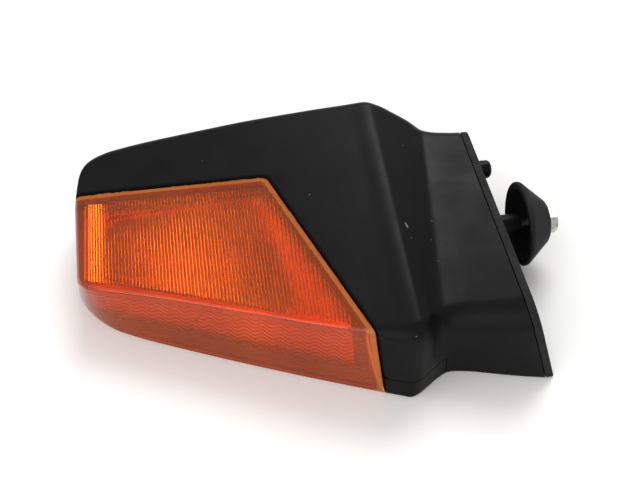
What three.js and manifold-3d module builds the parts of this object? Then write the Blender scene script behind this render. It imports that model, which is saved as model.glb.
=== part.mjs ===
// Flush-mounted motorcycle turn signal lamp, lying on its back cover: the lens looks up and to the side,
// and the mounting stud points along +X. Millimetres, +Z up, origin under the middle of the whole lamp.
import * as THREE from "three";
import { mergeVertices } from "three/addons/utils/BufferGeometryUtils.js";
import Module from "manifold-3d";

const wasm = await Module();
wasm.setup();

// Driving dimensions.
const GAP = 0.3; // clearance wherever two pieces meet
const HOUSING_WALL = 2.6;
const LENS_WALL = 2.2;
const TIP_X = -87.3; // outboard end of the lamp at the foot of the tip
const FLANGE_X = 68.8; // inboard flange at its foot
const FLANGE_LEAN = -0.3; // how far the flange leans back for each millimetre of height
const SEAM_Z = 8; // joint between housing and rear cover
const COVER_END_X = 36; // the rear cover stops at the neck
const CAVITY_FLOOR = -6; // hollows that are open underneath run down to here
const FACE_HEIGHT = 35.9; // height of the flat top face over the origin of the sketch
const FACE_SLOPE_X = 0.147;
const FACE_SLOPE_Y = 0.142;
const GASKET_THICKNESS = 2.8;
const PLATE_THICKNESS = 3.5;
const STUD_Y = 2.1;
const STUD_Z = 17.4;
const BULB_Y = -5;
const BULB_Z = 15.8;
const PEG_Y = 25.7;
const PEG_Z = 24.5;

// ---- solids ----------------------------------------------------------------------------------------

function solidFrom(geometry) {
  const plain = geometry.clone();
  plain.deleteAttribute("normal");
  plain.deleteAttribute("uv");
  const merged = mergeVertices(plain, 1e-4);
  const vertProperties = new Float32Array(merged.attributes.position.array);
  const triVerts = new Uint32Array(merged.index.array);
  const solid = new wasm.Manifold(new wasm.Mesh({ numProp: 3, vertProperties, triVerts }));
  if (solid.volume() > 0) return solid;
  for (let i = 0; i < triVerts.length; i += 3) {
    [triVerts[i + 1], triVerts[i + 2]] = [triVerts[i + 2], triVerts[i + 1]];
  }
  return new wasm.Manifold(new wasm.Mesh({ numProp: 3, vertProperties, triVerts }));
}

// Skins a row of rings, each with the same number of points, and closes both ends.
function loft(rings) {
  const count = rings[0].length;
  const positions = rings.flat(2);
  const index = [];
  for (let i = 0; i + 1 < rings.length; i += 1) {
    for (let j = 0; j < count; j += 1) {
      const k = (j + 1) % count;
      const a = i * count + j;
      const b = i * count + k;
      index.push(a, b, a + count, b, b + count, a + count);
    }
  }
  closeEnd(rings[0], 0, positions, index, false);
  closeEnd(rings.at(-1), (rings.length - 1) * count, positions, index, true);
  const geometry = new THREE.BufferGeometry();
  geometry.setAttribute("position", new THREE.Float32BufferAttribute(positions, 3));
  geometry.setIndex(index);
  return solidFrom(geometry);
}

// Fans one end ring about its middle.
function closeEnd(ring, first, positions, index, last) {
  const middle = [0, 1, 2].map((axis) => ring.reduce((sum, p) => sum + p[axis], 0) / ring.length);
  const centre = positions.length / 3;
  positions.push(...middle);
  for (let j = 0; j < ring.length; j += 1) {
    const a = first + j;
    const b = first + ((j + 1) % ring.length);
    if (last) index.push(a, b, centre);
    else index.push(b, a, centre);
  }
}

// A solid of revolution about a line along +X, from [x, radius] points that start and end on the line
// or close on themselves.
function turned(profile, y, z, sides = 32) {
  const points = profile.map(([x, r]) => new THREE.Vector2(r, x));
  const geometry = new THREE.LatheGeometry(points, sides);
  geometry.rotateZ(-Math.PI / 2);
  geometry.translate(0, y, z);
  return solidFrom(geometry);
}

function rodX(radius, x0, x1, y, z, sides = 32) {
  return turned([[x0, 0], [x0, radius], [x1, radius], [x1, 0]], y, z, sides);
}

function rodZ(radius, z0, z1, x, y, sides = 24) {
  const geometry = new THREE.CylinderGeometry(radius, radius, z1 - z0, sides);
  geometry.rotateX(Math.PI / 2);
  geometry.translate(x, y, (z0 + z1) / 2);
  return solidFrom(geometry);
}

function block(x0, x1, y0, y1, z0, z1) {
  const geometry = new THREE.BoxGeometry(x1 - x0, y1 - y0, z1 - z0);
  geometry.translate((x0 + x1) / 2, (y0 + y1) / 2, (z0 + z1) / 2);
  return solidFrom(geometry);
}

// ---- outer form ------------------------------------------------------------------------------------

// A smooth curve through [x, value] points that stays straight where the points are in line.
function smoothCurve(points) {
  const xs = points.map((p) => p[0]);
  const ys = points.map((p) => p[1]);
  const last = xs.length - 1;
  const slopes = xs.slice(1).map((x, i) => (ys[i + 1] - ys[i]) / (x - xs[i]));
  const tangents = xs.map((_, i) => {
    if (i === 0) return slopes[0];
    if (i === last) return slopes[last - 1];
    const before = slopes[i - 1];
    const after = slopes[i];
    return before * after <= 0 ? 0 : (2 * before * after) / (before + after);
  });
  return (x) => {
    if (x <= xs[0]) return ys[0] + tangents[0] * (x - xs[0]);
    if (x >= xs[last]) return ys[last] + tangents[last] * (x - xs[last]);
    const i = xs.findIndex((value) => value > x) - 1;
    const width = xs[i + 1] - xs[i];
    const t = (x - xs[i]) / width;
    const start = (1 + 2 * t) * (1 - t) ** 2 * ys[i] + t * (1 - t) ** 2 * width * tangents[i];
    const end = t * t * (3 - 2 * t) * ys[i + 1] + t * t * (t - 1) * width * tangents[i + 1];
    return start + end;
  };
}

const faceHeight = (x, y) => FACE_HEIGHT + FACE_SLOPE_X * x + FACE_SLOPE_Y * y;
const nearLine = (x) => -46.5 - 0.4375 * x; // the straight near side, seen from above

const RIDGE_X = 24;
const lean = smoothCurve([[TIP_X, 0.11], [-72, 0], [RIDGE_X, 0], [44, -0.12], [FLANGE_X, FLANGE_LEAN]]);
const skew = smoothCurve([[TIP_X, -0.036], [-78, 0], [RIDGE_X, 0], [44, 0.13], [FLANGE_X, 0]]);
const nearFoot = smoothCurve([
  [TIP_X, 5], [-84, -1.5], [-80, -7], [-74, -12.6], [-68, -16.2], [-63, nearLine(-63)], [20, nearLine(20)],
  [22.4, -56.1], [24.6, -55.4], [28.5, -53.4], [33, -51.6], [38, -49.6], [44, -47.6], [50, -48.6],
  [56.5, -50.8], [63, -53.1], [FLANGE_X, -54.8],
]);
const nearHead = smoothCurve([
  [TIP_X, -8.2], [-84, -10.6], [-80, -12.2], [-72, nearLine(-72)], [12, nearLine(12)], [20, -54.5],
  [24, -54.6], [28.5, -52.9], [33, -51.1], [38, -49.2], [44, -47.4], [50, -48.1], [56.5, -49.9],
  [63, -51.8], [FLANGE_X, -53],
]);
const farSide = smoothCurve([
  [TIP_X, 31], [-86.4, 36.5], [-85.2, 42], [-83.2, 46], [-80.6, 48.2], [-77, 49.6], [-70, 50.9], [-55, 51.7],
  [-27, 51.9], [0, 50.9], [15, 49.9], [RIDGE_X, 49.2], [28.5, 48.3], [33, 46.3], [38, 43.8], [44, 40.9],
  [50, 39.9], [56.5, 39.4], [63, 39], [FLANGE_X, 38.8],
]);
const nearHeight = smoothCurve([
  [18, faceHeight(18, -54)], [RIDGE_X, faceHeight(RIDGE_X, -54)], [28.5, 30.4], [33, 28.9], [38, 27.6],
  [44, 27], [50, 27.7], [56.5, 29], [63, 30.5], [FLANGE_X, 32],
]);
const farHeight = smoothCurve([
  [18, faceHeight(18, 49.7)], [RIDGE_X, faceHeight(RIDGE_X, 49.2)], [28.5, 45], [33, 42.7], [38, 40.1],
  [44, 37], [50, 36.5], [56.5, 36.3], [63, 36.2], [FLANGE_X, 36.1],
]);
const nearRounding = smoothCurve([[TIP_X, 1.5], [4, 1.5], [14, 4], [RIDGE_X, 6], [44, 8], [FLANGE_X, 9.5]]);
const farRounding = smoothCurve([[TIP_X, 4], [RIDGE_X, 5], [FLANGE_X, 6]]);
const TIP_ROUNDING = 3;
const FOOT_ROUNDING = 0.8;

// Where the rings stand along the lamp: close together at the tip, the ridge and the neck.
function stations(wall, beyond) {
  const turns = [90, 60, 30, 0].map((degrees) => {
    const angle = THREE.MathUtils.degToRad(degrees);
    const shrink = TIP_ROUNDING * (1 - Math.cos(angle));
    return { x: TIP_X + wall + TIP_ROUNDING * (1 - Math.sin(angle)), shrink };
  });
  const plain = [
    -80, -76, -71, -66, -55, -27, 0, 9, 14, 19, 22, 24, 26, 29, 33, 37, 41, 45, 50, 55, 61, FLANGE_X,
  ];
  const rest = plain.map((x) => ({ x, shrink: 0 }));
  if (beyond) rest.push({ x: FLANGE_X + beyond, shrink: 0 });
  return [...turns, ...rest];
}

// One ring of the outer form, moved in by a wall thickness: a four-cornered section with rounded corners.
function ring(x, inset, wall, foot) {
  const slope = lean(x);
  const turn = skew(x);
  const onFace = x <= 18;
  const head = nearHead(x);
  const far = farSide(x);
  const faceX = x + slope * 25;
  const nearTop = onFace ? faceHeight(faceX, head) : nearHeight(x);
  const farTop = onFace ? faceHeight(faceX, far) : farHeight(x);
  const corners = [
    [nearFoot(x) + inset, foot, FOOT_ROUNDING],
    [far - inset, foot, FOOT_ROUNDING],
    [far - inset, farTop - inset, Math.max(farRounding(x) - wall, 0.6)],
    [head + inset, nearTop - inset, Math.max(nearRounding(x) - wall, 0.6)],
  ];
  return roundedCorners(corners, 4).map(([y, z]) => [x + slope * z + turn * y, y, z]);
}

// Replaces each corner [u, v, radius] of a convex outline with an arc of so many points.
function roundedCorners(corners, steps) {
  return corners.flatMap(([u, v, radius], i) => {
    const before = corners.at(i - 1);
    const after = corners[(i + 1) % corners.length];
    const corner = new THREE.Vector2(u, v);
    const back = new THREE.Vector2(before[0], before[1]).sub(corner).normalize();
    const ahead = new THREE.Vector2(after[0], after[1]).sub(corner).normalize();
    const half = Math.acos(THREE.MathUtils.clamp(back.dot(ahead), -1, 1)) / 2;
    const bisector = back.clone().add(ahead).normalize();
    const centre = corner.clone().addScaledVector(bisector, radius / Math.sin(half));
    const from = corner.clone().addScaledVector(back, radius / Math.tan(half)).sub(centre);
    const to = corner.clone().addScaledVector(ahead, radius / Math.tan(half)).sub(centre);
    const sweep = Math.PI - 2 * half;
    const sign = Math.sign(from.x * to.y - from.y * to.x);
    return Array.from({ length: steps }, (_, k) => {
      const spoke = from.clone().rotateAround(new THREE.Vector2(), (sign * sweep * k) / (steps - 1));
      return [centre.x + spoke.x, centre.y + spoke.y];
    });
  });
}

// The outer form moved in by a wall thickness. Its foot is the rest plane, or lower for an open hollow.
function form(wall = 0, foot = 0, beyond = 0) {
  const rings = stations(wall, beyond).map(({ x, shrink }) => ring(x, wall + shrink, wall, foot));
  return loft(rings);
}

// ---- the lens region -------------------------------------------------------------------------------

// Everything outboard of the lens's border: a far edge, a rounded corner and a slanting edge,
// moved out by a margin.
function lensRegion(margin) {
  const farEdge = 29.5 + margin;
  const outline = (z) => {
    const drift = -0.11 * (z - 30);
    const slant = new THREE.Vector2(27, -74.1).normalize();
    const side = new THREE.Vector2(-slant.y, slant.x).multiplyScalar(margin);
    const nearEnd = new THREE.Vector2(11.4 + drift, -53.8).add(side).addScaledVector(slant, 42);
    const corner = new THREE.Vector2(-15.6 + drift, 20.3).add(side).addScaledVector(slant, -margin * 0.6);
    return [
      [-110, farEdge + 3.5, 0.5],
      [-110, -95, 0.5],
      [nearEnd.x, nearEnd.y, 0.5],
      [corner.x, corner.y, Math.max(4 + margin, 0.6)],
    ];
  };
  const rings = [-8, 60].map((z) => roundedCorners(outline(z), 5).map(([x, y]) => [x, y, z]));
  return loft(rings);
}

const below = (height) => block(-130, 130, -130, 130, -40, height);
const above = (height) => block(-130, 130, -130, 130, height, 120);

const body = form();
const coverSpace = below(SEAM_Z).intersect(block(-130, COVER_END_X, -130, 130, -50, 50));

const HOUSING_BOSSES = [[-70, 40], [-8, 42], [17, 38], [19, -43]];
const LENS_BOSSES = [[-70, -8.2], [-8, -36]];
const REFLECTOR_SCREWS = [[-53, 0.5], [-37, -11.5]];
const BOSS_RADIUS = 3.6;
const SCREW_RADIUS = 1.4;
const PILOT_RADIUS = SCREW_RADIUS + GAP;
const BOSS_FOOT = 4.2;

// A column down from the roof with a pilot hole for a cover screw.
function boss([x, y], roof) {
  const column = rodZ(BOSS_RADIUS, BOSS_FOOT, 50, x, y, 16).intersect(roof);
  return column.subtract(rodZ(PILOT_RADIUS, BOSS_FOOT - 2, BOSS_FOOT + 12, x, y, 10));
}

function housing() {
  const hollow = form(HOUSING_WALL, CAVITY_FLOOR, 6).intersect(block(-130, COVER_END_X, -130, 130, -50, 90));
  const neckHollow = form(HOUSING_WALL, HOUSING_WALL, 6).intersect(block(COVER_END_X - 0.5, 130, -130, 130, -50, 90));
  let shell = body.subtract(hollow).subtract(neckHollow);
  shell = shell.subtract(lensRegion(GAP / 2)).subtract(coverSpace);
  const web = lensRegion(2.4).subtract(lensRegion(GAP)).intersect(form(2, CAVITY_FLOOR));
  const shelf = lensRegion(2.4).subtract(lensRegion(-4)).intersect(form(4.4, CAVITY_FLOOR));
  const shelfSpace = above(SEAM_Z + GAP).subtract(form(6, CAVITY_FLOOR));
  shell = shell.add(web.add(shelf).intersect(shelfSpace));
  const roof = form(HOUSING_WALL / 2, -2);
  return HOUSING_BOSSES.reduce((whole, place) => whole.add(boss(place, roof)), shell);
}

function lens() {
  const roof = form(LENS_WALL / 2, -2);
  const region = lensRegion(-GAP / 2);
  let shell = body.intersect(region).subtract(form(LENS_WALL, CAVITY_FLOOR, 6));
  for (const place of LENS_BOSSES) shell = shell.add(boss(place, roof));
  return shell;
}

function lensSeal() {
  const band = lensRegion(-0.6).subtract(lensRegion(-3.6)).intersect(above(SEAM_Z));
  return band.intersect(form(2.6, CAVITY_FLOOR)).subtract(form(4.1, CAVITY_FLOOR));
}

function rearCover() {
  const inLens = lensRegion(GAP / 2);
  const outer = body.subtract(inLens).add(form(LENS_WALL + 2 * GAP).intersect(body));
  const hollow = form(HOUSING_WALL, HOUSING_WALL).subtract(lensRegion(2)).add(form(4.8, HOUSING_WALL));
  const coverTop = below(SEAM_Z - GAP).intersect(block(-130, COVER_END_X - GAP, -130, 130, -50, 50));
  let tray = outer.subtract(hollow).intersect(coverTop);
  for (const [x, y] of [...HOUSING_BOSSES, ...LENS_BOSSES]) {
    tray = tray.subtract(rodZ(BOSS_RADIUS + GAP, BOSS_FOOT - GAP, 20, x, y, 16));
    tray = tray.add(rodZ(4, 0.6, BOSS_FOOT - 2 * GAP, x, y, 16));
    tray = tray.subtract(rodZ(3.2, -2, 2.5, x, y, 16));
    tray = tray.subtract(rodZ(PILOT_RADIUS, -2, 20, x, y, 10));
  }
  for (const [x, y] of REFLECTOR_SCREWS) tray = tray.subtract(rodZ(PILOT_RADIUS, -2, 20, x, y, 10));
  for (const x of [-40, -30, -20]) tray = tray.subtract(block(x, x + 5, 34, 36, -2, 5));
  return tray;
}

function coverScrew([x, y]) {
  const head = rodZ(3, 0.4, 2.2, x, y, 16);
  const shank = rodZ(SCREW_RADIUS, 2, BOSS_FOOT + 10, x, y, 10);
  const cross = block(x - 1.8, x + 1.8, y - 0.4, y + 0.4, -1, 1.4).add(
    block(x - 0.4, x + 0.4, y - 1.8, y + 1.8, -1, 1.4),
  );
  return head.add(shank).subtract(cross);
}

// ---- optics and electrics --------------------------------------------------------------------------

const REFLECTOR_FLOOR = 3.2;
const HOLDER_RADIUS = 9.4;

// The reflector's outline from above at a given distance inside its rim.
function reflectorRing(inset, z, radius) {
  const corners = [
    [-78 + inset, 19.5 - inset, radius],
    [-78 + inset, -3 + inset * 0.5, radius],
    [-9.5 - inset * 0.6, -37 + inset * 0.5, radius * 0.6],
    [-18.5 - inset * 0.5, 13 - inset, radius * 0.6],
  ];
  return roundedCorners(corners, 5).map(([x, y]) => [x, y, z]);
}

// The space over the reflector's near edge, where light leaves for the side of the lens.
function sideWindow() {
  const outline = [[-95, 9.5], [-95, -80], [20, -80], [20, -47.5]];
  return loft([REFLECTOR_FLOOR + 2.4, 60].map((z) => outline.map(([x, y]) => [x, y, z])));
}

function reflector() {
  const bowl = (wall, floor) => {
    const rings = [[14, 0], [9, 2.5], [5, 8], [2.4, 15], [0.8, 23], [0, 40]];
    return loft(rings.map(([inset, rise]) => reflectorRing(inset + wall, floor + rise, 9)));
  };
  const lid = form(9.5, CAVITY_FLOOR);
  let shell = bowl(0, REFLECTOR_FLOOR).subtract(bowl(1.2, REFLECTOR_FLOOR + 1.2)).intersect(lid);
  shell = shell.subtract(rodX(HOLDER_RADIUS + GAP, -30, 20, BULB_Y, BULB_Z)).subtract(sideWindow());
  for (const [x, y] of REFLECTOR_SCREWS) shell = shell.subtract(rodZ(PILOT_RADIUS, -5, 12, x, y, 10));
  return shell;
}

function reflectorScrew([x, y]) {
  const top = REFLECTOR_FLOOR + 1.2 + GAP;
  const head = rodZ(2.6, top, top + 1.6, x, y, 16).add(rodZ(SCREW_RADIUS, 0.8, top + 1, x, y, 10));
  return head.subtract(block(x - 2, x + 2, y - 0.35, y + 0.35, top + 0.9, 9));
}

function bulbGlass() {
  const outer = [[-43, 0], [-42.6, 3.2], [-41, 6.6], [-37.8, 9.4], [-33.8, 10.8], [-29, 10.8], [-24.5, 9.8]];
  const neck = [[-20.5, 8.2], [-16.5, 7.1], [-12, 6.8]];
  const wall = 0.7;
  const inner = [...neck].reverse().map(([x, r]) => [x, r - wall]);
  const dome = [...outer].reverse().map(([x, r]) => [x + wall * 0.6, Math.max(r - wall, 0)]);
  dome[dome.length - 1] = [-43 + wall, 0];
  return turned([...outer, ...neck, ...inner, ...dome], BULB_Y, BULB_Z, 24);
}

function bulbFilament() {
  const stem = turned([[-24, 0], [-23.5, 2.4], [-18, 2.6], [-10.5, 2.4], [-10.5, 0]], BULB_Y, BULB_Z, 16);
  const post = (side) => rodX(0.35, -32, -22, BULB_Y + side * 1.9, BULB_Z, 8);
  const coil = rodZ(0.6, -3.2, 3.2, 0, 0, 10).rotate([90, 0, 0]).translate([-31.6, BULB_Y, BULB_Z]);
  return stem.add(post(1)).add(post(-1)).add(coil);
}

const CAP_START = -13;
const CAP_END = 5;

function bulbCap() {
  const shell = turned(
    [[CAP_START, 7.3], [CAP_START, 7.5], [CAP_END - 1, 7.5], [CAP_END, 6.6], [CAP_END, 3.4],
      [CAP_END - 3, 3.4], [CAP_END - 6, 7.3], [CAP_START, 7.3]],
    BULB_Y, BULB_Z, 24,
  );
  const pin = (turn) => rodZ(1, 6.9, 8.4, 0, 0, 12).rotate([turn, 0, 0]).translate([1, BULB_Y, BULB_Z]);
  return shell.add(pin(PIN_TURN)).add(pin(PIN_TURN + 180));
}

function bulbTip() {
  return turned([[CAP_END - 2.6, 0], [CAP_END - 2.6, 3], [CAP_END + 0.6, 3], [CAP_END + 1.6, 2], [CAP_END + 2, 0]],
    BULB_Y, BULB_Z, 20);
}

const HOLDER_START = -9;
const HOLDER_END = 17;
const PIN_TURN = -30; // the bayonet pins rest this far round from the straight slots
const HOLDER_BORE = 8;

function bulbHolder() {
  const sleeve = rodX(HOLDER_RADIUS, HOLDER_START, HOLDER_END, BULB_Y, BULB_Z)
    .subtract(rodX(HOLDER_BORE, HOLDER_START - 1, HOLDER_END - 1.5, BULB_Y, BULB_Z))
    .subtract(rodX(3.2, 0, HOLDER_END + 2, BULB_Y, BULB_Z, 20));
  const slot = block(HOLDER_START - 1, 3.8, -1.4, 1.4, 6, 12);
  const turnSlot = turned([[-0.4, 6], [-0.4, 12], [3.8, 12], [3.8, 6], [-0.4, 6]], 0, 0, 32);
  const wedge = block(-0.6, 4, -1.4, 6.2, 4.5, 12);
  const hook = turnSlot.intersect(wedge);
  const cut = slot.add(hook);
  const place = [0, BULB_Y, BULB_Z];
  return sleeve.subtract(cut.translate(place)).subtract(cut.rotate([180, 0, 0]).translate(place));
}

function contactButton() {
  return turned([[7.3, 0], [7.3, 4.6], [9, 6.4], [10, 6.4], [10, 1.6], [18.2, 1.6], [18.2, 0]],
    BULB_Y, BULB_Z, 20);
}

function contactSpring() {
  const start = 10 + GAP;
  const end = HOLDER_END - 1.5 - GAP;
  return turned([[start, 4.2], [start, 5.4], [end, 5.4], [end, 4.2], [start, 4.2]], BULB_Y, BULB_Z, 20);
}

function insulatorDisc() {
  const disc = rodX(8.6, HOLDER_END + GAP, HOLDER_END + 1.3, BULB_Y, BULB_Z);
  return disc.subtract(rodX(2.2, HOLDER_END, HOLDER_END + 3, BULB_Y, BULB_Z, 20));
}

const TAB_START = HOLDER_END + 1.6;

function terminal(height, width) {
  const foot = block(TAB_START, TAB_START + 0.8, -width, width, height - 2.4, height + 3);
  const tab = block(TAB_START + 0.5, TAB_START + 9, -width, width, height, height + 0.8);
  return foot.add(tab).translate([0, BULB_Y, BULB_Z]);
}

function liveTerminal() {
  return terminal(4.6, 2.4);
}

function earthTerminal() {
  return terminal(-5.6, 3.1);
}

// The bracket that carries the bulb holder on the rear cover's floor.
function holderBracket() {
  const saddle = block(-6, 10, BULB_Y - 11.5, BULB_Y + 11.5, HOUSING_WALL + GAP, BULB_Z - 2);
  const bed = rodX(HOLDER_RADIUS + GAP, -20, 30, BULB_Y, BULB_Z);
  const window = block(-3, 7, BULB_Y - 30, BULB_Y + 30, HOUSING_WALL + 3, BULB_Z - 12);
  return saddle.subtract(bed).subtract(window);
}

// ---- mounting end ----------------------------------------------------------------------------------

// The part of the outer form between two distances behind the flange face, moved in by a wall.
function flangeSlice(from, to, wall) {
  const slab = (x) => ring(FLANGE_X, wall, 0, wall).map(([px, y, z]) => [px + x, y, z]);
  return loft([slab(from), slab(to)]);
}

const flangeAt = (z) => FLANGE_X + FLANGE_LEAN * z;
const STUD_FOOT_X = flangeAt(STUD_Z);
const GASKET_START = GAP;
const CONE_START = STUD_FOOT_X + 9.75;
const CONE_END = CONE_START + 10.5;
const HEAD_HEIGHT = 3.5;
const PEG_RADIUS = 3.4;
const BOSS_OUTER = 4;
// Room round the stud tower and the peg, so that a panel square to the leaning flange slides over them.
const SLANT_GAP = 0.75;
const LEAD_Y = -24;
const LEAD_Z = 14;

function mountPlate() {
  const mouth = form(HOUSING_WALL + GAP, HOUSING_WALL + GAP, 6);
  const plate = flangeSlice(-PLATE_THICKNESS - 1, -1, HOUSING_WALL).intersect(mouth);
  const tower = rodX(BOSS_OUTER, STUD_FOOT_X - 14, CONE_START + 0.5, STUD_Y, STUD_Z);
  const bore = rodX(2.8, STUD_FOOT_X - 15, CONE_START + 3, STUD_Y, STUD_Z, 20);
  const pegHole = rodX(PEG_RADIUS + GAP, 40, 90, PEG_Y, PEG_Z, 24);
  const leadHole = rodX(4 + GAP, 40, 90, LEAD_Y, LEAD_Z, 24);
  let whole = plate.add(tower).subtract(bore).subtract(pegHole).subtract(leadHole);
  for (const place of PLATE_SCREWS) whole = whole.subtract(rodX(1.7, 40, 90, ...place, 16));
  return whole;
}

const PLATE_SCREWS = [[-42, 8], [-42, 25], [30, 8]];

function plateScrew([y, z]) {
  const face = flangeAt(z) - 1;
  const head = rodX(2.8, face - PLATE_THICKNESS - 2.6, face - PLATE_THICKNESS - 1, y, z, 20);
  return head.add(rodX(1.4, face - PLATE_THICKNESS - 2, face - 0.2, y, z, 16));
}

function mountingGasket() {
  const sheet = flangeSlice(GASKET_START, GASKET_START + GASKET_THICKNESS, 0);
  return sheet
    .subtract(rodX(BOSS_OUTER + SLANT_GAP, 40, 90, STUD_Y, STUD_Z))
    .subtract(rodX(PEG_RADIUS + SLANT_GAP, 40, 90, PEG_Y, PEG_Z, 24))
    .subtract(rodX(4 + GAP, 40, 90, LEAD_Y, LEAD_Z, 24));
}

function locatingPeg() {
  const face = flangeAt(PEG_Z) + GASKET_THICKNESS;
  const back = flangeAt(PEG_Z) - PLATE_THICKNESS - 4.3;
  const radius = PEG_RADIUS;
  return turned([[back, 0], [back, radius + 1.6], [back + 1.2, radius + 1.6], [back + 1.2, radius],
    [face + 3.4, radius], [face + 4.4, radius - 1], [face + 4.4, 0]], PEG_Y, PEG_Z, 24);
}

function leadGrommet() {
  const face = flangeAt(LEAD_Z);
  const back = face - PLATE_THICKNESS - 4.6;
  const end = face + GASKET_THICKNESS - 0.5;
  return turned([[back, 1.8], [back, 5.4], [back + 1.6, 5.4], [back + 1.6, 4], [end, 4], [end, 1.8], [back, 1.8]],
    LEAD_Y, LEAD_Z, 24);
}

function threadedInsert() {
  const start = STUD_FOOT_X - 13;
  return turned([[start, 2.1], [start, 2.5], [start + 11, 2.5], [start + 11, 2.1], [start, 2.1]],
    STUD_Y, STUD_Z, 20);
}

// Hollow rubber cone: a wide rim towards the panel and a hub that the bolt pulls on.
function damperCone() {
  const x = CONE_START;
  const end = CONE_END;
  return turned([
    [x, 13.1], [x, 15], [x + 0.6, 15.5], [x + 1.6, 15.4], [x + 8, 9.6], [x + 9.7, 8.1], [end - 0.4, 7.5],
    [end, 6.9], [end, 6], [end - 1.4, 6], [end - 1.4, 3.9], [x + 5, 3.9], [x + 5, 6],
    [x + 7.6, 6.6], [x + 1.6, 12.6], [x, 13.1],
  ], STUD_Y, STUD_Z, 28);
}

function damperCollar() {
  const start = CONE_START + 5;
  const end = CONE_END - 1.4 - GAP;
  return turned([[start, 2.8], [start, 3.6], [end, 3.6], [end, 2.8], [start, 2.8]], STUD_Y, STUD_Z, 24);
}

function boltWasher() {
  const start = CONE_END - 1.1;
  const end = CONE_END - 0.1;
  return turned([[start, 2.8], [start, 5.6], [end, 5.6], [end, 2.8], [start, 2.8]], STUD_Y, STUD_Z, 28);
}

function mountBolt() {
  const seat = CONE_END + 0.2;
  const flats = 8 / 2 / Math.cos(Math.PI / 6);
  const shank = rodX(1.85, STUD_FOOT_X - 11.5, seat + 1, STUD_Y, STUD_Z, 20);
  const head = rodX(flats, seat, seat + HEAD_HEIGHT, STUD_Y, STUD_Z, 6);
  const crown = turned([[seat - 1, 0], [seat - 1, 6], [seat + HEAD_HEIGHT - 0.5, flats + 0.1],
    [seat + HEAD_HEIGHT, flats - 0.8], [seat + HEAD_HEIGHT, 0]], STUD_Y, STUD_Z, 24);
  return head.intersect(crown).add(shank);
}

// ---- assembly --------------------------------------------------------------------------------------

const BLACK_PLASTIC = { color: 0x232425, roughness: 0.55, metalness: 0 };
const AMBER = { color: 0xe0640e, roughness: 0.2, metalness: 0 };
const RUBBER = { color: 0x1a1a1b, roughness: 0.8, metalness: 0 };
const SILVERED = { color: 0xd0d2d4, roughness: 0.15, metalness: 1 };
const ZINC = { color: 0xb9bcbd, roughness: 0.35, metalness: 1 };
const BRASS = { color: 0xc8a456, roughness: 0.35, metalness: 1 };
const CLEAR_GLASS = { color: 0xe8eef0, roughness: 0.05, metalness: 0 };
const TUNGSTEN = { color: 0x9a9c9e, roughness: 0.4, metalness: 1 };
const FIBRE = { color: 0x7a5a3a, roughness: 0.8, metalness: 0 };

const lamp = new THREE.Group();

function add(name, solid, finish) {
  const { vertProperties, triVerts } = solid.getMesh();
  const geometry = new THREE.BufferGeometry();
  geometry.setAttribute("position", new THREE.BufferAttribute(vertProperties, 3));
  geometry.setIndex(new THREE.BufferAttribute(triVerts, 1));
  geometry.computeVertexNormals();
  const mesh = new THREE.Mesh(geometry, new THREE.MeshStandardMaterial(finish));
  mesh.name = name;
  lamp.add(mesh);
}

add("housing", housing(), BLACK_PLASTIC);
add("rear_cover", rearCover(), BLACK_PLASTIC);
add("lens", lens(), AMBER);
add("lens_seal", lensSeal(), RUBBER);
add("reflector", reflector(), SILVERED);
add("bulb_glass", bulbGlass(), CLEAR_GLASS);
add("bulb_filament", bulbFilament(), TUNGSTEN);
add("bulb_cap", bulbCap(), ZINC);
add("bulb_tip", bulbTip(), TUNGSTEN);
add("bulb_holder", bulbHolder(), ZINC);
add("holder_bracket", holderBracket(), BLACK_PLASTIC);
add("contact_button", contactButton(), BRASS);
add("contact_spring", contactSpring(), ZINC);
add("insulator_disc", insulatorDisc(), FIBRE);
add("live_terminal", liveTerminal(), BRASS);
add("earth_terminal", earthTerminal(), BRASS);
add("mount_plate", mountPlate(), BLACK_PLASTIC);
add("threaded_insert", threadedInsert(), BRASS);
add("mounting_gasket", mountingGasket(), RUBBER);
add("locating_peg", locatingPeg(), BLACK_PLASTIC);
add("lead_grommet", leadGrommet(), RUBBER);
add("damper_cone", damperCone(), RUBBER);
add("damper_collar", damperCollar(), ZINC);
add("bolt_washer", boltWasher(), ZINC);
add("mount_bolt", mountBolt(), ZINC);
HOUSING_BOSSES.forEach((place, i) => add(`cover_screw_${i + 1}`, coverScrew(place), ZINC));
LENS_BOSSES.forEach((place, i) => add(`lens_screw_${i + 1}`, coverScrew(place), ZINC));
REFLECTOR_SCREWS.forEach((place, i) => add(`reflector_screw_${i + 1}`, reflectorScrew(place), ZINC));
PLATE_SCREWS.forEach((place, i) => add(`plate_screw_${i + 1}`, plateScrew(place), ZINC));

// The origin goes under the middle of the lamp's box.
const box = new THREE.Box3().setFromObject(lamp);
const middle = box.getCenter(new THREE.Vector3());
lamp.position.set(-middle.x, -middle.y, -box.min.z);

export default lamp;
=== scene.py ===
"""A motorcycle turn signal lamp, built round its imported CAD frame, laid out as a Blender add-on."""

import math

import bpy
import numpy as np
from mathutils import Matrix, Vector


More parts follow.
